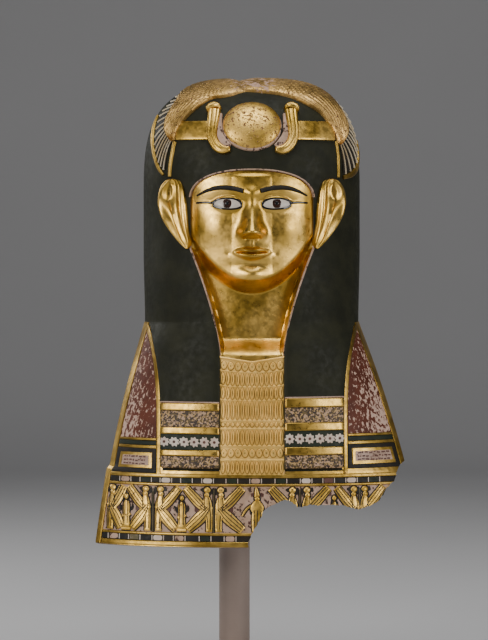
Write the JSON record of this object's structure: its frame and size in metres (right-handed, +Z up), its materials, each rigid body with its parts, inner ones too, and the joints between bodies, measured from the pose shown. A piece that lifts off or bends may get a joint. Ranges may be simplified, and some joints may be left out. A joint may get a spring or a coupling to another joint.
{
  "type": "egyptian mummy mask on a display post",
  "caption": "Gilded and painted cartonnage mummy mask: a hollow head with a striped apron, broken at one lower corner, held up on a round post with a disc foot.",
  "frame": {"origin": "on the underside of the foot, in the mask's plane of symmetry, under the middle of the head", "axes": "+Z up, -Y the way the face looks, +X the viewer's right when facing the mask"},
  "size_m": [0.3135, 0.2418, 0.6266],
  "materials": {
    "gilded_cartonnage": "worn gold leaf and paint over plastered linen, satin to burnished",
    "stand_paint": "matte brown-grey paint"
  },
  "bodies": {
    "root": {"mask": "gilded_cartonnage", "support_post": "stand_paint", "support_cap": "stand_paint", "support_foot": "stand_paint"}
  },
  "joints": []
}
